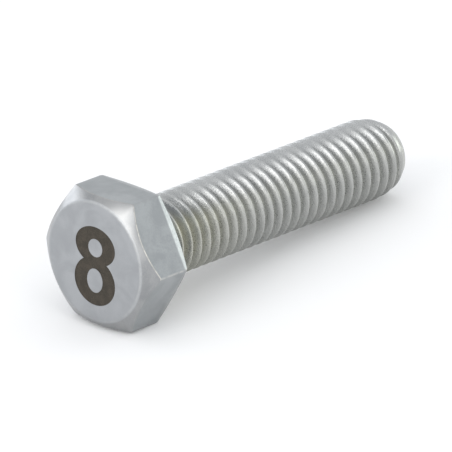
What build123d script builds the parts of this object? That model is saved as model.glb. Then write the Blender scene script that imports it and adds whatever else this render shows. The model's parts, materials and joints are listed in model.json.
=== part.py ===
from build123d import *

import math
import os

# Hex head screw, coarse metric thread M8 x 35 that runs up to the head. Sizes are in millimetres, angles in degrees.
#
# The screw is modelled about the Z axis: the bearing face of the head is the plane Z = 0, the head lies below it,
# the shank runs to +Z, and two flats of the hexagon face +Y and -Y. It is then laid down as it comes to rest on a
# level surface, on one flat and on the end of its full thread, with its shank along +X.
#
# The threaded length is the solid that the crests of the thread bound, with the neck, the run-out, the lead and the
# point that the rolled thread leaves at its two ends.

# Head
across_flats = 13.0
head_height = 5.3
corner_radius = 0.3           # rounding of the six long corners
crown_margin = 0.585          # from the middle of a flat in to the rim of the round end face
crown_slope = 37.5            # crown chamfer, measured from the end face
flat_edge_length = 0.78       # sloped strip along each flat, beside the bearing face
flat_edge_slope = 14.0        # that strip, measured from the flat
seat_margin = 0.055           # from that strip in to the rim of the bearing face
seat_slope = 21.0             # chamfer of the corners round the bearing face, measured from that face
seat_fillet = 0.5             # under the head, where the shank begins

# Thread
crest_diameter = 7.97
pitch = 1.25
blank_depth = 0.3248 * pitch  # from the crests in to the blank that the thread is rolled on

# Shank
screw_length = 35.0           # from the bearing face to the end of the point
neck_length = 1.4             # plain blank under the head
run_out_length = 0.65         # over which the crests rise from the neck
lead_length = 2.6             # end of the shank over which the crests fade
lead_depth = 0.365            # by which the lead has come in where the point begins
point_length = 1.0            # chamfered rim of the end
point_depth = 0.62            # by which the point comes in further

# Worked out from the sizes above
flat_radius = across_flats / 2
corner_reach = flat_radius / math.cos(math.pi / 6)
flat_edge_depth = flat_edge_length * math.tan(math.radians(flat_edge_slope))
crest_radius = crest_diameter / 2
blank_radius = crest_radius - blank_depth


def prism():
    """Hexagonal prism with rounded corners, whose flats slope in beside the bearing face."""
    hexagon = RegularPolygon(corner_reach, 6)
    rounded = fillet(hexagon.vertices(), corner_radius)
    strip_place = Pos(0, 0, -flat_edge_length)
    body = extrude(Pos(0, 0, -head_height) * rounded, head_height - flat_edge_length)
    strips = extrude(strip_place * hexagon, flat_edge_length, taper=flat_edge_slope)
    return body + (extrude(strip_place * rounded, flat_edge_length) & strips)


def head_limits():
    """Turned form that bounds the prism: round end face, crown chamfer, seat chamfer and round bearing face."""
    outside = corner_reach + 1
    crown_radius = flat_radius - crown_margin
    seat_radius = flat_radius - flat_edge_depth - seat_margin
    crown_rise = (outside - crown_radius) * math.tan(math.radians(crown_slope))
    seat_drop = (outside - seat_radius) * math.tan(math.radians(seat_slope))
    with BuildSketch(Plane.XZ) as section:
        with BuildLine():
            end_face = Line((0, -head_height), (crown_radius, -head_height))
            crown = Bezier(end_face @ 1, (outside, crown_rise - head_height))
            side = Line(crown @ 1, (outside, -seat_drop))
            seat = Bezier(side @ 1, (seat_radius, 0))
            Polyline(seat @ 1, (0, 0), end_face @ 0)
        make_face()
    return revolve(section.sketch, Axis.Z, 360)


def head():
    """Head of the screw."""
    return prism() & head_limits()


def shank():
    """Fillet under the head, neck, run-out, threaded length, lead and point, turned as one outline."""
    inside = -head_height / 4
    shoulder_radius = crest_radius - lead_depth
    with BuildSketch(Plane.XZ) as section:
        with BuildLine():
            foot = Polyline((0, inside), (blank_radius + seat_fillet, inside), (blank_radius + seat_fillet, 0))
            under_head = RadiusArc(foot @ 1, (blank_radius, seat_fillet), seat_fillet)
            Polyline(
                under_head @ 1,
                (blank_radius, neck_length),
                (crest_radius, neck_length + run_out_length),
                (crest_radius, screw_length - lead_length),
                (shoulder_radius, screw_length - point_length),
                (shoulder_radius - point_depth, screw_length),
                (0, screw_length),
                (0, inside),
            )
        make_face()
    return revolve(section.sketch, Axis.Z, 360)


def resting_place():
    """Where the screw comes to rest: on the end of its lower flat and on the end of the full thread."""
    dip = math.atan((flat_radius - crest_radius) / (screw_length - lead_length + flat_edge_length))
    return Plane(origin=(0, 0, 0), x_dir=(0, 1, 0), z_dir=(math.cos(dip), 0, -math.sin(dip))).location


os.makedirs("parts", exist_ok=True)
export_step(resting_place() * (head() + shank()), "parts/screw.step")
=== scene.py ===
"""Hex head screw, M8 x 35, with its rolled thread and the figure that marks its size.

Shapes are built about the axis of the screw, in millimetres, as on a maker's drawing: the bearing face
of the head is z = 0, the shank runs to +z, and a flat of the head faces +y. A Placement then brings each
finished mesh to metres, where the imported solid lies.
"""
import json
import logging
import math
from dataclasses import dataclass, field
from enum import Enum, IntEnum
from typing import Any, Iterable, NamedTuple, Sequence

import bmesh
import bpy
from bmesh.types import BMEdge, BMesh, BMFace, BMVert
from mathutils import Matrix, Vector


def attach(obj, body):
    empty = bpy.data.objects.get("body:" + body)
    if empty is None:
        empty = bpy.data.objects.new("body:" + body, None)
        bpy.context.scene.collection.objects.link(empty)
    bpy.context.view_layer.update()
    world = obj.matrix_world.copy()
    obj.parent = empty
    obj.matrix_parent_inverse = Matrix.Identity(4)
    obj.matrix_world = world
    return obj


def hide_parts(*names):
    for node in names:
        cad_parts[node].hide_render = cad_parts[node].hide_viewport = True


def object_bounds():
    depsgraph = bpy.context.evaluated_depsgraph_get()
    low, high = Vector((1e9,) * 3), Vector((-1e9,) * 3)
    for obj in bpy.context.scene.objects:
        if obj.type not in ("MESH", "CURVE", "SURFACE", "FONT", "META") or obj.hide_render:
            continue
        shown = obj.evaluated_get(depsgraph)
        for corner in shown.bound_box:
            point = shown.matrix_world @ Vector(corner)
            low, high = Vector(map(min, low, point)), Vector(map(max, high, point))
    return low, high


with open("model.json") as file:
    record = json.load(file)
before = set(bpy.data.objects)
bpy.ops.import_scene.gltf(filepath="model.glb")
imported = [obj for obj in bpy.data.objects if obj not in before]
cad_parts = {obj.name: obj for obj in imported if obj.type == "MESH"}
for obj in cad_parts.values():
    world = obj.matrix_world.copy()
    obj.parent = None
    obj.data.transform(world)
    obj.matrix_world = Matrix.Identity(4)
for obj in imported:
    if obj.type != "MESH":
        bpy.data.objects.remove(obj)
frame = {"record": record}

LOG = logging.getLogger("hex_head_screw")

METRES_PER_MM = 0.001
MERGE_DISTANCE = 1e-4
SIDES = 6
SIDE_ANGLE = math.tau / SIDES
CAD_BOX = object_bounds()

Colour = tuple[float, float, float, float]
Span = tuple[float, float]


class Zone(IntEnum):
    """Parts of the screw's surface that differ in finish, numbered as the material slots of its mesh."""

    THREAD = 0
    CROWN = 1
    FLATS = 2
    END_FACE = 3


class Relief(Enum):
    """Attributes of the mesh that tell a finish where a point lies in the relief of the surface."""

    HOLLOW = "hollow"
    # Burnished wear, with a painted highlight on the head's edges and the thread's crests.
    WEAR_AND_SHEEN = "wear_and_sheen"


class RecordSlot(Enum):
    """Material slots named in the record; the pieces here are not given them."""

    STEEL = "stainless_steel"
    MARKING = "size_marking"


class Corner(NamedTuple):
    """Corner of an outline in the (radius, z) plane, with the radius that rounds it."""

    point: Vector
    rounding: float


# ----------------------------------------------------------------------------------------------------
# Outlines and rings
# ----------------------------------------------------------------------------------------------------


def rounded_outline(start: Vector, corners: Sequence[Corner], end: Vector, steps: int) -> list[Vector]:
    """Rounds the corners of an open outline.

    Args:
        start: Point that the outline comes from, which is left out of the result.
        corners: Corners in order. One with no rounding stays a single point.
        end: Point that the outline goes on to, which is left out too.
        steps: Segments in each rounded corner.

    Returns:
        Points of the outline from its first corner to its last.
    """
    points = [start, *(corner.point for corner in corners), end]
    outline: list[Vector] = []
    for before, corner, after in zip(points, corners, points[2:]):
        if corner.rounding == 0:
            outline.append(corner.point)
            continue
        back = (before - corner.point).normalized()
        on = (after - corner.point).normalized()
        half = back.angle(on) / 2
        reach = corner.rounding / math.tan(half)
        centre = corner.point + (back + on).normalized() * corner.rounding / math.sin(half)
        first = (corner.point + back * reach - centre).normalized()
        last = (corner.point + on * reach - centre).normalized()
        spokes = (first.slerp(last, step / steps) for step in range(steps + 1))
        outline.extend(centre + spoke * corner.rounding for spoke in spokes)
    return outline


def eased(value: float, low: float, high: float) -> float:
    """Share from 0 at low to 1 at high, with a soft start and a soft end."""
    share = min(max((value - low) / (high - low), 0.0), 1.0)
    return share * share * (3 - 2 * share)


def soft_minimum(first: float, second: float, blend: float) -> float:
    """The smaller of two values, rounded off where they come within blend of each other."""
    share = min(max(0.5 + (second - first) / (2 * blend), 0.0), 1.0)
    return second + (first - second) * share - blend * share * (1 - share)


def edges_of(verts: Iterable[BMVert]) -> list[BMEdge]:
    """Edges whose two ends are both among the vertices."""
    chosen = set(verts)
    return list({edge for vert in chosen for edge in vert.link_edges if chosen.issuperset(edge.verts)})


def set_zone(made: Iterable[BMVert | BMEdge | BMFace], zone: Zone) -> None:
    """Gives the faces among what an operator made their finish."""
    for item in made:
        if isinstance(item, BMFace):
            item.material_index = zone


def extruded(bm: BMesh, loop: list[BMEdge], zone: Zone) -> tuple[list[BMEdge], list[BMVert]]:
    """Extrudes a loop of edges in place.

    Args:
        bm: Mesh under construction.
        loop: Edges of the open rim.
        zone: Finish of the new faces.

    Returns:
        Edges and vertices of the new rim.
    """
    made = bmesh.ops.extrude_edge_only(bm, edges=loop)["geom"]
    set_zone(made, zone)
    verts = [item for item in made if isinstance(item, BMVert)]
    return edges_of(verts), verts


def move_ring(verts: Iterable[BMVert], radius: float, z: float) -> None:
    """Moves the vertices of a ring to one radius and height, each in its own direction from the axis."""
    for vert in verts:
        direction = vert.co.xy.normalized()
        vert.co = (direction.x * radius, direction.y * radius, z)


def loop_at(bm: BMesh, z: float) -> list[BMEdge]:
    """Open edges of the mesh that lie at height z."""
    return [
        edge for edge in bm.edges
        if edge.is_boundary and all(abs(vert.co.z - z) < MERGE_DISTANCE for vert in edge.verts)
    ]


# ----------------------------------------------------------------------------------------------------
# Placement
# ----------------------------------------------------------------------------------------------------


@dataclass(frozen=True)
class Placement:
    """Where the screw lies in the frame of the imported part, read from the places that its record states."""

    axis: Vector
    up: Vector
    head_height: float
    across_flats: float

    @classmethod
    def from_record(cls, record: dict[str, Any]) -> "Placement":
        """Reads the axis, the upper flat and the two sizes of the head from the mounts.

        Args:
            record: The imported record.

        Returns:
            The placement, with its sizes in millimetres.
        """
        mounts = {mount["name"]: mount for mount in record["mounts"]}
        axis = Vector(mounts["bearing_face"]["axis"]).normalized()
        up = Vector(mounts["spanner_flat_upper"]["axis"]).normalized()
        end_face = Vector(mounts["end_face"]["pos_m"])
        upper_flat = Vector(mounts["spanner_flat_upper"]["pos_m"])
        return cls(axis, up, -end_face.dot(axis) / METRES_PER_MM, 2 * upper_flat.dot(up) / METRES_PER_MM)

    def matrix(self) -> Matrix:
        """Turns the drawing's axes to the lying screw's and its millimetres to metres."""
        side = self.up.cross(self.axis)
        turn = Matrix((side, self.up, self.axis)).transposed().to_4x4()
        return turn @ Matrix.Scale(METRES_PER_MM, 4)


# ----------------------------------------------------------------------------------------------------
# Head
# ----------------------------------------------------------------------------------------------------


@dataclass
class Head:
    """Hexagon head with a crown chamfer round its end face and a chamfer round its bearing face.

    Wear runs from 0 to 1. On the rounded edges and corners it is partly worn steel and partly a painted
    highlight, stronger on the sides where the light falls. What differs from side to side is counted from the
    flat that faces +y.
    """

    height: float
    across_flats: float
    corner_radius: float = 0.3
    crown_margin: float = 0.585
    crown_slope: float = math.radians(37.5)
    crown_rounding: float = 0.17
    rim_rounding: float = 0.55
    strip_length: float = 0.78
    strip_slope: float = math.radians(14.0)
    strip_rounding: float = 0.9
    seat_margin: float = 0.055
    seat_slope: float = math.radians(21.0)
    seat_edge_rounding: float = 0.06
    seat_rim_rounding: float = 0.1
    # Cream on the rounded crown edges, set per flat: partly worn steel, partly a painted highlight where
    # light catches the edge.
    edge_wear_and_highlight: tuple[float, ...] = (0.35, 1.0, 0.1, 0.3, 0.3, 0.35)
    # Painted highlight on the rounded rim of the end face, with some wear; it swings round the head,
    # brightest at one side.
    rim_wear_and_highlight: float = 0.5
    rim_highlight_swing: float = 0.4
    rim_highlight_side: float = math.radians(150.0)
    # Lighter line down the rounded corners, set per corner: partly wear, partly a painted highlight.
    corner_wear_and_highlight: tuple[float, ...] = (0.1, 0.55, 0.2, 0.2, 0.2, 0.1)
    rounding_steps: int = 4
    flat_steps: int = 28
    corner_steps: int = 8

    @property
    def flat_radius(self) -> float:
        """Distance from the axis to a flat."""
        return self.across_flats / 2

    @property
    def crown_radius(self) -> float:
        """Radius of the end face, before its rim is rounded."""
        return self.flat_radius - self.crown_margin

    @property
    def seat_radius(self) -> float:
        """Radius of the bearing face."""
        return self.flat_radius - self.strip_length * math.tan(self.strip_slope) - self.seat_margin

    @property
    def columns_per_side(self) -> int:
        """Columns of faces in one flat and the rounded corner after it."""
        return self.flat_steps + self.corner_steps

    @property
    def columns(self) -> int:
        """Columns of faces round the head."""
        return SIDES * self.columns_per_side

    @property
    def edge_rows(self) -> int:
        """Rows of vertices in one rounded edge."""
        return self.rounding_steps + 1

    @property
    def flat_angle(self) -> float:
        """Angle, seen from the axis, from the middle of a flat to where a rounded corner begins."""
        inner_radius = self.flat_radius - self.corner_radius
        return math.atan(inner_radius * math.tan(SIDE_ANGLE / 2) / self.flat_radius)

    def column_turn(self, column: int) -> tuple[float, float]:
        """Direction of a column of the mesh.

        Args:
            column: Number of the column, counted round the head from the flat that faces +y.

        Returns:
            Angle of the flat's middle, and the column's own angle from there.
        """
        flat, step = divmod(column, self.columns_per_side)
        middle = math.pi / 2 + flat * SIDE_ANGLE
        if step <= self.flat_steps:
            return middle, self.flat_angle * (2 * step / self.flat_steps - 1)
        corner_span = SIDE_ANGLE - 2 * self.flat_angle
        return middle, self.flat_angle + corner_span * (step - self.flat_steps) / self.corner_steps

    def reach(self, turn: float) -> float:
        """Distance from the axis to the rounded hexagon, at an angle from the middle of a flat."""
        if abs(turn) <= self.flat_angle:
            return self.flat_radius / math.cos(turn)
        from_corner = SIDE_ANGLE / 2 - turn
        centre = (self.flat_radius - self.corner_radius) / math.cos(SIDE_ANGLE / 2)
        across = centre * math.sin(from_corner)
        return centre * math.cos(from_corner) + math.sqrt(self.corner_radius**2 - across**2)

    def seat_edge(self, turn: float) -> Vector:
        """Where the sloped strip of a flat meets the chamfer of the bearing face, as (radius, z)."""
        strip_fall = math.tan(self.strip_slope)
        seat_fall = math.tan(self.seat_slope)
        nearest = min(abs(turn), SIDE_ANGLE - abs(turn))
        free = self.flat_radius - self.strip_length * strip_fall - self.seat_radius * strip_fall * seat_fall
        radius = min(free / (math.cos(nearest) - strip_fall * seat_fall), self.reach(turn))
        return Vector((radius, (self.seat_radius - radius) * seat_fall))

    def section(self, turn: float) -> list[Vector]:
        """Outline of one column, from the end face over the crown and the flat to the bearing face."""
        reach = self.reach(turn)
        crown_z = (reach - self.crown_radius) * math.tan(self.crown_slope) - self.height
        corners = [
            Corner(Vector((self.crown_radius, -self.height)), self.rim_rounding),
            Corner(Vector((reach, crown_z)), self.crown_rounding),
            Corner(Vector((reach, -self.strip_length)), self.strip_rounding),
            Corner(self.seat_edge(turn), self.seat_edge_rounding),
            Corner(Vector((self.seat_radius, 0.0)), self.seat_rim_rounding),
        ]
        return rounded_outline(Vector((0.0, -self.height)), corners, Vector((0.0, 0.0)), self.rounding_steps)

    def zone(self, row: int) -> Zone:
        """Finish of the ring of faces that ends at a row of the outline."""
        if row < self.edge_rows:
            return Zone.END_FACE
        return Zone.CROWN if row < 2 * self.edge_rows else Zone.FLATS

    def wear_and_sheen(self, row: int, column: int) -> float:
        """How far handling has burnished the steel at a point of the mesh, with the painted highlight on the
        head's rounded edges and corners added in.

        Args:
            row: Row of the outline, counted from the rim of the end face.
            column: Column of the mesh.

        Returns:
            Wear and painted highlight from 0 to 1.
        """
        flat, step = divmod(column, self.columns_per_side)
        if row >= 2 * self.edge_rows - 1:
            across_corner = max(step - self.flat_steps, 0) / self.corner_steps
            return self.corner_wear_and_highlight[flat] * math.sin(math.pi * across_corner)
        worn_and_sheen = self.edge_wear_and_highlight[flat]
        if row < self.edge_rows:
            # The rim's painted highlight is brighter on the side that faces the light.
            from_side = sum(self.column_turn(column)) - self.rim_highlight_side
            worn_and_sheen = self.rim_wear_and_highlight + self.rim_highlight_swing * math.cos(from_side)
        return worn_and_sheen * math.sin(math.pi * (row % self.edge_rows) / self.rounding_steps)

    def build(self, bm: BMesh) -> tuple[list[BMEdge], list[BMEdge]]:
        """Raises the head as rings of one column each way round, each extruded from the last.

        Args:
            bm: Mesh under construction.

        Returns:
            Loop round the end face and loop round the bearing face, both open.
        """
        number = bm.verts.layers.int.new("column")
        wear_and_sheen = bm.verts.layers.float[Relief.WEAR_AND_SHEEN.value]
        verts = bmesh.ops.create_circle(bm, radius=1.0, segments=self.columns)["verts"]
        for column, vert in enumerate(verts):
            vert[number] = column
        turns = [self.column_turn(column) for column in range(self.columns)]
        sections = [self.section(turn) for _, turn in turns]
        loop = edges_of(verts)
        end_loop = loop
        for row in range(len(sections[0])):
            if row:
                loop, verts = extruded(bm, loop, self.zone(row))
            for vert in verts:
                column = vert[number]
                middle, turn = turns[column]
                radius, z = sections[column][row]
                vert.co = (radius * math.cos(middle + turn), radius * math.sin(middle + turn), z)
                vert[wear_and_sheen] = self.wear_and_sheen(row, column)
        return end_loop, loop


# ----------------------------------------------------------------------------------------------------
# Size figure
# ----------------------------------------------------------------------------------------------------


@dataclass(frozen=True)
class Bowl:
    """One of the two rings of the figure: an ellipse with a smaller one, its counter, left open in it."""

    height: float
    half_width: float
    counter_height: float
    counter_half_width: float
    counter_half_height: float

    def half_height(self, waist: float) -> float:
        """Half height at which the bowl is as wide as the waist where the two bowls meet."""
        return abs(self.height) / math.sqrt(1 - (waist / self.half_width) ** 2)


@dataclass
class SizeFigure:
    """Figure 8 marked in the end face, sunk a little, with its dark layer as a piece of its own."""

    upper: Bowl = Bowl(
        height=1.57,
        half_width=2.55,
        counter_height=1.40,
        counter_half_width=0.90,
        counter_half_height=0.90,
    )
    lower: Bowl = Bowl(
        height=-1.97,
        half_width=2.63,
        counter_height=-1.90,
        counter_half_width=1.00,
        counter_half_height=1.20,
    )
    half_waist: float = 1.5
    offset: float = 0.05
    sunk: float = 0.04
    layer: float = 0.02
    joint_gap: float = 0.02
    segments: int = 96

    def ellipse(
        self, bm: BMesh, height: float, half_width: float, half_height: float, z: float
    ) -> list[BMVert]:
        """Draws an ellipse that lies in the figure's plane, seen from outside the end face."""
        size = Vector((half_width, half_height, 1.0))
        place = Matrix.LocRotScale(Vector((-self.offset, height, z)), None, size)
        return bmesh.ops.create_circle(bm, radius=1.0, segments=self.segments, matrix=place)["verts"]

    def outline(self, bm: BMesh, z: float) -> list[BMEdge]:
        """Draws the outer line of the figure and its two counters.

        Args:
            bm: Mesh under construction.
            z: Height of the plane that the figure lies in.

        Returns:
            Edges of the three closed lines.
        """
        outer: list[BMVert] = []
        counters: list[BMVert] = []
        for bowl in (self.upper, self.lower):
            half_height = bowl.half_height(self.half_waist)
            verts = self.ellipse(bm, bowl.height, bowl.half_width, half_height, z)
            cut = bmesh.ops.bisect_plane(
                bm,
                geom=[*verts, *edges_of(verts)],
                dist=MERGE_DISTANCE,
                plane_co=(0.0, 0.0, 0.0),
                plane_no=(0.0, -math.copysign(1.0, bowl.height), 0.0),
                clear_outer=True,
            )["geom_cut"]
            outer += [item for item in (*verts, *cut) if item.is_valid and isinstance(item, BMVert)]
            counters += self.ellipse(
                bm, bowl.counter_height, bowl.counter_half_width, bowl.counter_half_height, z
            )
        bmesh.ops.remove_doubles(bm, verts=outer, dist=self.joint_gap)
        kept = [vert for vert in outer if vert.is_valid]
        return [*edges_of(kept), *edges_of(counters)]

    def sink(self, bm: BMesh, end_loop: list[BMEdge], z: float) -> None:
        """Closes the end face, with the figure sunk in it.

        Args:
            bm: Mesh under construction.
            end_loop: Open loop round the end face.
            z: Height of the end face.
        """
        figure = self.outline(bm, z)
        face = bmesh.ops.triangle_fill(bm, use_beauty=True, edges=[*end_loop, *figure])["geom"]
        floor_lines, verts = extruded(bm, figure, Zone.END_FACE)
        bmesh.ops.translate(bm, verts=verts, vec=(0.0, 0.0, self.sunk))
        floor = bmesh.ops.triangle_fill(bm, use_beauty=True, edges=floor_lines)["geom"]
        set_zone([*face, *floor], Zone.END_FACE)

    def build(self, end_face_z: float) -> BMesh:
        """Makes the dark layer that fills the bottom of the sunk figure."""
        bm = bmesh.new()
        bottom = end_face_z + self.sunk
        faces = bmesh.ops.triangle_fill(bm, use_beauty=True, edges=self.outline(bm, bottom))["geom"]
        raised = bmesh.ops.extrude_face_region(bm, geom=faces, use_keep_orig=True)["geom"]
        top = [item for item in raised if isinstance(item, BMVert)]
        bmesh.ops.translate(bm, verts=top, vec=(0.0, 0.0, -self.layer))
        return bm


# ----------------------------------------------------------------------------------------------------
# Shank
# ----------------------------------------------------------------------------------------------------


@dataclass
class Shank:
    """Shank with a right-hand thread rolled on it, from the fillet under the head to the chamfered point."""

    length: float = 35.0
    pitch: float = 1.25
    flank_angle: float = math.radians(60)
    crest_radius: float = 3.985
    crest_share: float = 1 / 8
    root_share: float = 1 / 6
    crest_rounding: float = 0.07
    root_rounding: float = 0.16
    blank_share: float = 0.3248
    crest_phase: float = 0.825
    neck_end: float = 0.9
    run_out_end: float = 2.1
    fillet_radius: float = 0.5
    lead_length: float = 2.6
    lead_depth: float = 0.365
    lead_blend: float = 0.12
    # Share of the thread depth, from the crest, that is burnished and painted lighter as a highlight.
    crest_sheen_and_wear_share: float = 0.12
    point_length: float = 1.0
    point_depth: float = 0.62
    dish_depth: float = 0.12
    snap: float = 0.005
    flank_cuts: int = 3
    rounding_steps: int = 2
    steps_per_turn: int = 96
    fillet_steps: int = 6
    dish_steps: int = 5
    spare_turns: int = 3

    @property
    def thread_depth(self) -> float:
        """Depth at which the flanks leave the stated shares of the pitch to the crest and the root."""
        flank_share = (1 - self.crest_share - self.root_share) / 2
        return self.pitch * flank_share / math.tan(self.flank_angle / 2)

    @property
    def root_radius(self) -> float:
        """Radius at the bottom of the thread."""
        return self.crest_radius - self.thread_depth

    @property
    def blank_radius(self) -> float:
        """Radius of the plain blank that the thread is rolled on."""
        return self.crest_radius - self.blank_share * self.pitch

    @property
    def tip_radius(self) -> float:
        """Radius of the end of the point."""
        return self.crest_radius - self.lead_depth - self.point_depth

    def limit(self, z: float) -> float:
        """Radius of the lead and the point at height z, which the thread doesn't pass."""
        shoulder = self.crest_radius - self.lead_depth
        to_point = self.length - z - self.point_length
        if to_point < 0:
            return shoulder + self.point_depth * to_point / self.point_length
        return shoulder + self.lead_depth * to_point / (self.lead_length - self.point_length)

    def form(self, bm: BMesh) -> list[BMVert | BMEdge]:
        """Draws one pitch of the thread form, from the middle of a root to the middle of the next.

        Args:
            bm: Mesh under construction.

        Returns:
            Vertices and edges of the form, in the plane of the axis and +x.
        """
        half_crest = self.crest_share * self.pitch / 2
        half_root = self.root_share * self.pitch / 2
        half_pitch = self.pitch / 2
        start = Vector((self.root_radius, -half_pitch))
        end = Vector((self.root_radius, half_pitch))
        corners = [
            Corner(Vector((self.root_radius, half_root - half_pitch)), self.root_rounding),
            Corner(Vector((self.crest_radius, -half_crest)), self.crest_rounding),
            Corner(Vector((self.crest_radius, half_crest)), self.crest_rounding),
            Corner(Vector((self.root_radius, half_pitch - half_root)), self.root_rounding),
        ]
        points = [start, *rounded_outline(start, corners, end, self.rounding_steps), end]
        first_turn = -math.ceil(self.pitch / self.crest_phase)
        lift = self.crest_phase + first_turn * self.pitch
        verts = [bm.verts.new((point.x, 0.0, point.y + lift)) for point in points]
        edges = [bm.edges.new(pair) for pair in zip(verts, verts[1:])]
        flanks = [edge for edge in edges if edge.calc_length() > self.thread_depth / 2]
        bmesh.ops.subdivide_edges(bm, edges=flanks, cuts=self.flank_cuts)
        return [*bm.verts, *bm.edges]

    def build(self, bm: BMesh) -> list[BMEdge]:
        """Makes the shank.

        Args:
            bm: Mesh under construction, still empty.

        Returns:
            Open loop at the foot of the fillet, in the plane of the bearing face.
        """
        bmesh.ops.spin(
            bm,
            geom=self.form(bm),
            cent=(0.0, 0.0, 0.0),
            axis=(0.0, 0.0, 1.0),
            dvec=(0.0, 0.0, self.pitch / self.steps_per_turn),
            angle=math.tau,
            steps=self.steps_per_turn,
            use_merge=False,
        )
        one_turn = [*bm.verts, *bm.edges, *bm.faces]
        turns = math.ceil(self.length / self.pitch) + self.spare_turns
        for turn in range(1, turns + 1):
            copy = bmesh.ops.duplicate(bm, geom=one_turn)["geom"]
            verts = [item for item in copy if isinstance(item, BMVert)]
            bmesh.ops.translate(bm, verts=verts, vec=(0.0, 0.0, turn * self.pitch))
        bmesh.ops.remove_doubles(bm, verts=bm.verts, dist=MERGE_DISTANCE)
        self.cut(bm)
        self.fade(bm)
        self.close_point(bm)
        return self.fillet(bm)

    def cut(self, bm: BMesh) -> None:
        """Cuts the rolled length off at its two ends, and lays edges where lead and point begin."""
        cuts_and_cleared_sides = (
            (self.neck_end, -1.0),
            (self.length, 1.0),
            (self.length - self.lead_length, 0.0),
            (self.length - self.point_length, 0.0),
        )
        for z, cleared_side in cuts_and_cleared_sides:
            for vert in bm.verts:
                if abs(vert.co.z - z) < self.snap:
                    vert.co.z = z
            bmesh.ops.bisect_plane(
                bm,
                geom=[*bm.verts, *bm.edges, *bm.faces],
                dist=MERGE_DISTANCE,
                plane_co=(0.0, 0.0, z),
                plane_no=(0.0, 0.0, cleared_side or 1.0),
                clear_outer=bool(cleared_side),
            )

    def fade(self, bm: BMesh) -> None:
        """Lets the thread rise from the blank at the neck, and cuts its crests back to lead and point."""
        hollow = bm.verts.layers.float[Relief.HOLLOW.value]
        wear_and_sheen = bm.verts.layers.float[Relief.WEAR_AND_SHEEN.value]
        for vert in bm.verts:
            z = vert.co.z
            depth = (self.crest_radius - vert.co.xy.length) / self.thread_depth
            share = eased(z, self.neck_end, self.run_out_end)
            risen = self.blank_radius + (vert.co.xy.length - self.blank_radius) * share
            radius = soft_minimum(risen, self.limit(z), self.lead_blend)
            cut_back = eased(risen - radius, 0.0, self.lead_blend)
            vert[hollow] = share * depth
            # Crests burnished, and painted lighter also as a highlight.
            vert[wear_and_sheen] = share * eased(depth, self.crest_sheen_and_wear_share, 0.0) * (1 - cut_back)
            move_ring([vert], radius, z)

    def close_point(self, bm: BMesh) -> None:
        """Closes the end of the point with a shallow dish."""
        loop = loop_at(bm, self.length)
        for step in range(1, self.dish_steps):
            loop, verts = extruded(bm, loop, Zone.FLATS)
            share = 1 - step / self.dish_steps
            depth = self.dish_depth * math.cos(share * math.pi / 2)
            move_ring(verts, self.tip_radius * share, self.length - depth)
        set_zone(bmesh.ops.contextual_create(bm, geom=loop)["faces"], Zone.FLATS)

    def fillet(self, bm: BMesh) -> list[BMEdge]:
        """Draws the neck down to the bearing face and spreads it in the fillet."""
        loop = loop_at(bm, self.neck_end)
        for step in range(self.fillet_steps + 1):
            loop, verts = extruded(bm, loop, Zone.THREAD)
            turn = step / self.fillet_steps * math.pi / 2
            spread = self.fillet_radius * (1 - math.cos(turn))
            move_ring(verts, self.blank_radius + spread, self.fillet_radius * (1 - math.sin(turn)))
        return loop


# ----------------------------------------------------------------------------------------------------
# Finishes
# ----------------------------------------------------------------------------------------------------


# Sockets of Blender's Mix node when it mixes colours
MIX_FIRST_COLOUR = 6
MIX_SECOND_COLOUR = 7
MIX_COLOUR_RESULT = 2


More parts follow.
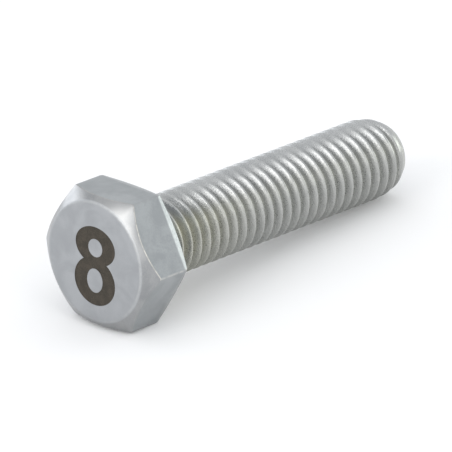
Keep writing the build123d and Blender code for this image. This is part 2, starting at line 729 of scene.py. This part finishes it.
class Graph:
    """Node tree of one material, with its Principled shader and the coordinates of its piece."""

    def __init__(self, name: str) -> None:
        """Starts a material of that name."""
        self.material = bpy.data.materials.new(name)
        self.material.use_nodes = True
        self.tree = self.material.node_tree
        self.shader = self.tree.nodes["Principled BSDF"]
        self.place = self.add("ShaderNodeTexCoord").outputs["Object"]

    def add(self, kind: str, inputs: dict[str, Any] | None = None, **settings: Any) -> bpy.types.Node:
        """Adds a node.

        Args:
            kind: Type of the node.
            inputs: Value of an input, or the output that drives it, by the input's name or number.
            settings: Settings of the node itself.

        Returns:
            The node.
        """
        node = self.tree.nodes.new(kind)
        for name, value in settings.items():
            setattr(node, name, value)
        for name, value in (inputs or {}).items():
            self.put(node.inputs[name], value)
        return node

    def put(self, socket: bpy.types.NodeSocket, value: Any) -> None:
        """Sets an input to a value, or links it to an output."""
        if isinstance(value, bpy.types.NodeSocket):
            self.tree.links.new(value, socket)
        else:
            socket.default_value = value

    def noise(
        self, size_mm: float, detail: float, stretch: Vector | None = None, warp: float = 0.0
    ) -> Any:
        """Noise whose grains are about size_mm across.

        Args:
            size_mm: Size of a grain in millimetres.
            detail: Finer layers of noise over the first.
            stretch: How much finer the grain is along each axis.
            warp: Distortion of the grain.

        Returns:
            Output from 0 to 1, mostly near the middle.
        """
        place = self.place
        if stretch is not None:
            place = self.add("ShaderNodeMapping", {"Vector": place, "Scale": stretch}).outputs["Vector"]
        scale = 1 / (size_mm * METRES_PER_MM)
        inputs = {"Vector": place, "Scale": scale, "Detail": detail, "Distortion": warp}
        return self.add("ShaderNodeTexNoise", inputs).outputs["Fac"]

    def ranged(self, value: Any, source: Span, target: Span) -> Any:
        """Value carried from one range to another, held within it and eased at both ends."""
        inputs = {
            "Value": value,
            "From Min": source[0],
            "From Max": source[1],
            "To Min": target[0],
            "To Max": target[1],
        }
        node = self.add("ShaderNodeMapRange", inputs, interpolation_type="SMOOTHSTEP")
        return node.outputs["Result"]

    def total(self, first: Any, second: Any) -> Any:
        """Sum of two values."""
        return self.add("ShaderNodeMath", {0: first, 1: second}, operation="ADD").outputs["Value"]

    def product(self, first: Any, second: Any) -> Any:
        """Product of two values."""
        return self.add("ShaderNodeMath", {0: first, 1: second}, operation="MULTIPLY").outputs["Value"]

    def mix(self, share: Any, first: Any, second: Any) -> Any:
        """Colour between two others."""
        inputs = {"Factor": share, MIX_FIRST_COLOUR: first, MIX_SECOND_COLOUR: second}
        return self.add("ShaderNodeMix", inputs, data_type="RGBA").outputs[MIX_COLOUR_RESULT]

    def blend(self, first: Any, first_share: float, second: Any) -> Any:
        """Two values added in shares that make up a whole."""
        return self.total(self.product(first, first_share), self.product(second, 1 - first_share))

    def bump(self, height: Any, depth_mm: float, below: Any = None) -> Any:
        """Relief of a given depth, over another relief if there is one."""
        inputs = {"Height": height, "Distance": depth_mm * METRES_PER_MM, "Strength": 1.0}
        if below is not None:
            inputs["Normal"] = below
        return self.add("ShaderNodeBump", inputs).outputs["Normal"]


def colour(red: float, green: float, blue: float) -> Colour:
    """Opaque colour."""
    return red, green, blue, 1.0


@dataclass(frozen=True)
class SteelFinish:
    """Bare stainless steel, as one of the screw's tools left it.

    The clouds, the lines and the worn patches have one size in all the steel. The worn patches are partly
    burnished steel and partly a painted highlight. A range gives the two values of a noise between which the
    finish changes.
    """

    name: str
    bright: Colour
    dull: Colour
    roughness: float
    roughness_spread: float
    grain_mm: float
    grain_depth: float
    line_depth: float
    line_stretch: tuple[float, float, float]
    # Colour of burnished steel, which also paints the highlight on the worn edges, rim and crests.
    worn_and_sheen: Colour
    wear_and_sheen_share: float
    cloud_mm: float = 2.5
    cloud_warp: float = 0.6
    cloud_share: float = 0.7
    line_mm: float = 0.35
    patch_mm: float = 0.5
    least_patch: float = 0.35
    detail: float = 3.0
    tone_range: Span = (0.36, 0.64)
    grain_range: Span = (0.3, 0.7)
    patch_range: Span = (0.35, 0.6)

    def start(self) -> tuple[Graph, Any]:
        """Builds what all the steel has in common.

        Returns:
            The node tree, and its colour before the zone adds its own.
        """
        graph = Graph(self.name)
        cloud = graph.noise(self.cloud_mm, self.detail, warp=self.cloud_warp)
        grain = graph.noise(self.grain_mm, self.detail)
        lines = graph.noise(self.line_mm, self.detail, Vector(self.line_stretch))
        tone = graph.ranged(graph.blend(cloud, self.cloud_share, grain), self.tone_range, (0.0, 1.0))
        rough = (self.roughness - self.roughness_spread, self.roughness + self.roughness_spread)
        relief = graph.bump(grain, self.grain_depth)
        graph.put(graph.shader.inputs["Roughness"], graph.ranged(grain, self.grain_range, rough))
        graph.put(graph.shader.inputs["Normal"], graph.bump(lines, self.line_depth, relief))
        graph.shader.inputs["Metallic"].default_value = 1.0
        tint = graph.mix(tone, self.dull, self.bright)
        # Wear mask: burnished patches, partly a painted highlight on the head's edges and the thread's
        # crests.
        wear_and_sheen = graph.add("ShaderNodeAttribute", attribute_name=Relief.WEAR_AND_SHEEN.value).outputs["Fac"]
        patchy = (self.least_patch * self.wear_and_sheen_share, self.wear_and_sheen_share)
        patches = graph.ranged(graph.noise(self.patch_mm, self.detail), self.patch_range, patchy)
        return graph, graph.mix(graph.product(wear_and_sheen, patches), tint, self.worn_and_sheen)

    def material(self) -> bpy.types.Material:
        """Makes the material."""
        graph, tint = self.start()
        graph.put(graph.shader.inputs["Base Color"], tint)
        return graph.material


@dataclass(frozen=True)
class ThreadFinish(SteelFinish):
    """Rolled steel, burnished and painted lighter as a highlight at the crests, with its roots painted
    lighter to lift their shade.

    Near the head lies an olive tint, partly oil and partly painted light: painted shade in the roots there,
    and warm painted light on the sides below the top. It thins out along the shank, and between two heights
    above the shank's falling axis.
    """

    # Roots painted lighter than the flanks, to lift the shade that falls in them.
    root: Colour = colour(0.560, 0.570, 0.560)
    # Olive tint: partly oil, partly painted warm light and shade near the head.
    oil_and_light_tint: Colour = colour(0.455, 0.450, 0.372)
    # Root colour near the head: partly oil, partly painted shade next to the head.
    oiled_shaded_root: Colour = colour(0.420, 0.414, 0.336)
    oil_and_shade_length: float = 15.0
    least_oil_and_shade: float = 0.3
    oil_and_light_share: float = 0.7
    shank_fall: float = 0.0758
    # Heights above the axis over which the tint fades: painted warm light on the lower sides, the top left
    # plain.
    oil_and_light_fade: Span = (2.2, 3.4)
    oil_and_light_above: float = 0.1
    painted_root_range: Span = (0.45, 1.0)
    root_share: float = 0.85

    def material(self) -> bpy.types.Material:
        """Makes the material, which reads how deep in the thread each point lies."""
        graph, tint = self.start()
        hollow = graph.add("ShaderNodeAttribute", attribute_name=Relief.HOLLOW.value).outputs["Fac"]
        parts = graph.add("ShaderNodeSeparateXYZ", {"Vector": graph.place})
        along, up = parts.outputs["X"], parts.outputs["Z"]
        # Painted shade and oil tint, strongest next to the head.
        oil_and_shade_near_head = graph.ranged(along, (0.0, self.oil_and_shade_length * METRES_PER_MM), (1.0, self.least_oil_and_shade))
        height = graph.total(up, graph.product(along, self.shank_fall))
        low, high = (limit * METRES_PER_MM for limit in self.oil_and_light_fade)
        # Painted light: the tint stays on the sides below the top, where the warm light falls.
        oil_and_light_by_height = graph.ranged(height, (low, high), (1.0, self.oil_and_light_above))
        oil_shade_and_light = graph.product(oil_and_shade_near_head, oil_and_light_by_height)
        tint = graph.mix(graph.product(oil_shade_and_light, self.oil_and_light_share), tint, self.oil_and_light_tint)
        # Root colour: lighter roots that lift their shade, and darker olive roots near the head, as painted
        # shade with some oil.
        deep = graph.mix(oil_shade_and_light, self.root, self.oiled_shaded_root)
        # Share of the painted root colour, which grows deeper in the thread.
        painted_root_share = graph.ranged(hollow, self.painted_root_range, (0.0, self.root_share))
        graph.put(graph.shader.inputs["Base Color"], graph.mix(painted_root_share, tint, deep))
        return graph.material


@dataclass(frozen=True)
class MarkingFinish:
    """Dark matt layer of the size figure."""

    name: str = "dark_marking"
    dark: Colour = colour(0.033, 0.027, 0.018)
    light: Colour = colour(0.059, 0.047, 0.034)
    roughness: float = 0.6
    metallic: float = 0.3
    cloud_mm: float = 0.9
    cloud_detail: float = 3.0
    cloud_share: float = 0.5
    grain_mm: float = 0.12
    grain_detail: float = 2.0
    grain_depth: float = 0.004
    tone_range: Span = (0.38, 0.62)

    def material(self) -> bpy.types.Material:
        """Makes the material."""
        graph = Graph(self.name)
        cloud = graph.noise(self.cloud_mm, self.cloud_detail)
        grain = graph.noise(self.grain_mm, self.grain_detail)
        tone = graph.ranged(graph.blend(cloud, self.cloud_share, grain), self.tone_range, (0.0, 1.0))
        graph.put(graph.shader.inputs["Base Color"], graph.mix(tone, self.dark, self.light))
        graph.put(graph.shader.inputs["Normal"], graph.bump(grain, self.grain_depth))
        graph.shader.inputs["Roughness"].default_value = self.roughness
        graph.shader.inputs["Metallic"].default_value = self.metallic
        return graph.material


FINISHES: dict[Zone, SteelFinish] = {
    Zone.THREAD: ThreadFinish(
        name="rolled_steel",
        bright=colour(0.425, 0.432, 0.437),
        dull=colour(0.370, 0.378, 0.384),
        roughness=0.32,
        roughness_spread=0.08,
        grain_mm=0.13,
        grain_depth=0.010,
        line_depth=0.002,
        line_stretch=(1.0, 1.0, 1.0),
        worn_and_sheen=colour(0.488, 0.496, 0.496),
        wear_and_sheen_share=0.7,
    ),
    Zone.CROWN: SteelFinish(
        name="turned_steel",
        bright=colour(0.374, 0.377, 0.381),
        dull=colour(0.296, 0.303, 0.311),
        roughness=0.285,
        roughness_spread=0.01,
        grain_mm=0.09,
        grain_depth=0.001,
        line_depth=0.001,
        line_stretch=(0.2, 1.0, 1.0),
        # Cream of the worn edges, partly a painted highlight.
        worn_and_sheen=colour(0.688, 0.673, 0.629),
        wear_and_sheen_share=0.8,
    ),
    Zone.FLATS: SteelFinish(
        name="drawn_steel",
        bright=colour(0.389, 0.407, 0.418),
        dull=colour(0.318, 0.334, 0.346),
        roughness=0.34,
        roughness_spread=0.06,
        grain_mm=0.16,
        grain_depth=0.004,
        line_depth=0.004,
        line_stretch=(0.15, 1.0, 1.0),
        # Cream of the worn edges, partly a painted highlight.
        worn_and_sheen=colour(0.688, 0.673, 0.629),
        wear_and_sheen_share=0.8,
    ),
    Zone.END_FACE: SteelFinish(
        name="pressed_steel",
        bright=colour(0.414, 0.425, 0.440),
        dull=colour(0.354, 0.364, 0.379),
        roughness=0.42,
        roughness_spread=0.05,
        grain_mm=0.08,
        grain_depth=0.002,
        line_depth=0.001,
        line_stretch=(1.0, 1.0, 1.0),
        worn_and_sheen=colour(0.518, 0.525, 0.525),
        wear_and_sheen_share=0.8,
    ),
}


# ----------------------------------------------------------------------------------------------------
# Screw
# ----------------------------------------------------------------------------------------------------


def make_piece(
    bm: BMesh,
    name: str,
    placement: Placement,
    materials: Sequence[bpy.types.Material],
    sharp_angle: float,
) -> bpy.types.Object:
    """Turns a finished bmesh into a piece of the screw.

    Args:
        bm: Mesh in the drawing's axes, which is freed.
        name: Name of the piece.
        placement: Where the screw lies.
        materials: Materials, in the order of the mesh's material numbers.
        sharp_angle: Angle between two faces from which their edge stays sharp, in radians.

    Returns:
        The piece, riding on the root body.
    """
    bmesh.ops.recalc_face_normals(bm, faces=bm.faces)
    bmesh.ops.transform(bm, matrix=placement.matrix(), verts=bm.verts)
    mesh = bpy.data.meshes.new(name)
    bm.to_mesh(mesh)
    bm.free()
    mesh.shade_smooth()
    mesh.set_sharp_from_angle(angle=sharp_angle)
    for material in materials:
        mesh.materials.append(material)
    piece = bpy.data.objects.new(name, mesh)
    bpy.context.scene.collection.objects.link(piece)
    weighted = piece.modifiers.new("weighted_normals", "WEIGHTED_NORMAL")
    weighted.keep_sharp = True
    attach(piece, "root")
    LOG.info("%s: %d faces", name, len(mesh.polygons))
    return piece


@dataclass
class Screw:
    """The screw: one body of steel, and the dark layer of its size figure."""

    placement: Placement
    head: Head
    shank: Shank = field(default_factory=Shank)
    figure: SizeFigure = field(default_factory=SizeFigure)
    body_sharp_angle: float = math.radians(32)
    figure_sharp_angle: float = math.radians(40)

    def body(self) -> BMesh:
        """Joins the shank and the head in one closed mesh."""
        bm = bmesh.new()
        for relief in Relief:
            bm.verts.layers.float.new(relief.value)
        foot = self.shank.build(bm)
        end_loop, seat_loop = self.head.build(bm)
        seat = bmesh.ops.triangle_fill(bm, use_beauty=True, edges=[*foot, *seat_loop])["geom"]
        set_zone(seat, Zone.FLATS)
        self.figure.sink(bm, end_loop, -self.head.height)
        return bm

    def build(self) -> None:
        """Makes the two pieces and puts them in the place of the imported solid."""
        steel = [FINISHES[zone].material() for zone in Zone]
        body = make_piece(
            self.body(), "screw_body", self.placement, steel, self.body_sharp_angle
        )
        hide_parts("screw")
        layer = self.figure.build(-self.head.height)
        dark = [MarkingFinish().material()]
        make_piece(
            layer, "size_figure", self.placement, dark, self.figure_sharp_angle
        )


# ----------------------------------------------------------------------------------------------------
# Studio
# ----------------------------------------------------------------------------------------------------


def direction(azimuth: float, elevation: float) -> Vector:
    """Unit vector towards an azimuth, counted from +X to +Y, and an elevation, both in degrees."""
    around, above = math.radians(azimuth), math.radians(elevation)
    level = math.cos(above)
    return Vector((math.cos(around) * level, math.sin(around) * level, math.sin(above)))


def looking(place: Vector, target: Vector, roll: float = 0.0) -> Matrix:
    """Matrix of a camera or lamp that looks from a place at a target, rolled by some degrees."""
    turn = (target - place).to_track_quat("-Z", "Y").to_matrix().to_4x4()
    return Matrix.Translation(place) @ turn @ Matrix.Rotation(math.radians(roll), 4, "Z")


@dataclass(frozen=True)
class SoftBox:
    """Square area lamp turned to the screw, with angles in degrees and lengths in metres."""

    name: str
    azimuth: float
    elevation: float
    distance: float
    width: float
    power: float
    tint: tuple[float, float, float]

    def build(self, target: Vector) -> None:
        """Hangs the lamp."""
        lamp = bpy.data.lights.new(self.name, "AREA")
        lamp.shape = "SQUARE"
        lamp.size = self.width
        lamp.energy = self.power
        lamp.color = self.tint
        holder = bpy.data.objects.new(self.name, lamp)
        bpy.context.scene.collection.objects.link(holder)
        place = target + direction(self.azimuth, self.elevation) * self.distance
        holder.matrix_world = looking(place, target)


@dataclass(frozen=True)
class Floor:
    """Wide pale floor that keeps the shadow of the screw."""

    radius: float = 0.6
    segments: int = 96
    paint: Colour = colour(0.90, 0.90, 0.91)
    roughness: float = 0.9
    glow: float = 0.05

    def build(self, height: float) -> None:
        """Lays the floor at a height, in metres."""
        bm = bmesh.new()
        place = Matrix.Translation((0.0, 0.0, height))
        bmesh.ops.create_circle(
            bm, cap_ends=True, radius=self.radius, segments=self.segments, matrix=place
        )
        mesh = bpy.data.meshes.new("floor")
        bm.to_mesh(mesh)
        bm.free()
        mesh.materials.append(self.material())
        floor = bpy.data.objects.new("floor", mesh)
        bpy.context.scene.collection.objects.link(floor)

    def material(self) -> bpy.types.Material:
        """Pale paint, with a slight glow that only the camera and reflections see."""
        graph = Graph("pale_floor")
        graph.shader.inputs["Base Color"].default_value = self.paint
        graph.shader.inputs["Roughness"].default_value = self.roughness
        graph.shader.inputs["Specular IOR Level"].default_value = 0.0
        path = graph.add("ShaderNodeLightPath").outputs
        mirrored = graph.total(path["Is Glossy Ray"], path["Is Transmission Ray"])
        seen = graph.total(path["Is Camera Ray"], mirrored)
        graph.shader.inputs["Emission Color"].default_value = colour(1.0, 1.0, 1.0)
        graph.put(graph.shader.inputs["Emission Strength"], graph.product(seen, self.glow))
        return graph.material


@dataclass(frozen=True)
class Studio:
    """Plain soft light from all round, with a few soft boxes, over a pale floor."""

    surround: Colour = colour(0.97, 0.985, 1.0)
    surround_strength: float = 1.0
    boxes: tuple[SoftBox, ...] = (
        SoftBox(
            name="key_box",
            azimuth=178.0,
            elevation=28.0,
            distance=0.6,
            width=0.32,
            power=0.81,
            tint=(1.0, 0.99, 0.96),
        ),
        SoftBox(
            name="front_box",
            azimuth=-155.0,
            elevation=12.0,
            distance=0.7,
            width=0.26,
            power=0.16,
            tint=(1.0, 0.99, 0.96),
        ),
        SoftBox(
            name="left_box",
            azimuth=100.0,
            elevation=6.0,
            distance=0.6,
            width=0.30,
            power=0.50,
            tint=(0.93, 0.96, 1.0),
        ),
        SoftBox(
            name="right_box",
            azimuth=-100.0,
            elevation=26.0,
            distance=0.6,
            width=0.28,
            power=0.30,
            tint=(1.0, 0.98, 0.87),
        ),
        SoftBox(
            name="back_box",
            azimuth=-16.0,
            elevation=7.0,
            distance=0.6,
            width=0.28,
            power=0.46,
            tint=(0.95, 1.0, 0.92),
        ),
    )
    floor: Floor = Floor()

    def build(self, target: Vector, floor_height: float) -> None:
        """Sets up the light and the floor.

        Args:
            target: Point that the lamps are turned to.
            floor_height: Height of the floor, in metres.
        """
        world = bpy.data.worlds.new("studio")
        bpy.context.scene.world = world
        world.use_nodes = True
        background = world.node_tree.nodes["Background"]
        background.inputs["Color"].default_value = self.surround
        background.inputs["Strength"].default_value = self.surround_strength
        for box in self.boxes:
            box.build(target)
        self.floor.build(floor_height)
        bpy.context.scene.view_settings.view_transform = "Standard"


@dataclass(frozen=True)
class Viewpoint:
    """Camera with a long lens that looks down on the head of the screw and along its shank.

    Angles are in degrees and the distance is in metres. The lens, the sensor and the aim, which counts
    from the centre of the screw's box, are in millimetres.
    """

    azimuth: float = -136.097
    elevation: float = 24.903
    distance: float = 0.957798
    roll: float = -2.169
    lens: float = 799.6
    sensor: float = 36.0
    aim: tuple[float, float, float] = (-1.866, 0.121, -2.715)
    clip_span: float = 10.0

    def build(self, centre: Vector) -> None:
        """Sets up the camera, aimed a little off the centre of the screw's box."""
        camera = bpy.data.cameras.new("camera")
        camera.lens = self.lens
        camera.sensor_width = self.sensor
        camera.clip_start = self.distance / self.clip_span
        camera.clip_end = self.distance * self.clip_span
        holder = bpy.data.objects.new("camera", camera)
        bpy.context.scene.collection.objects.link(holder)
        target = centre + Vector(self.aim) * METRES_PER_MM
        place = target + direction(self.azimuth, self.elevation) * self.distance
        holder.matrix_world = looking(place, target, self.roll)
        bpy.context.scene.camera = holder


def main() -> None:
    """Builds the screw, the studio and the camera."""
    logging.basicConfig(level=logging.INFO, format="%(name)s: %(message)s")
    low, high = (Vector(corner) for corner in CAD_BOX)
    centre = (low + high) / 2
    placement = Placement.from_record(frame["record"])
    Screw(placement, Head(placement.head_height, placement.across_flats)).build()
    Studio().build(centre, low.z)
    Viewpoint().build(centre)


if __name__ == "__main__":
    main()
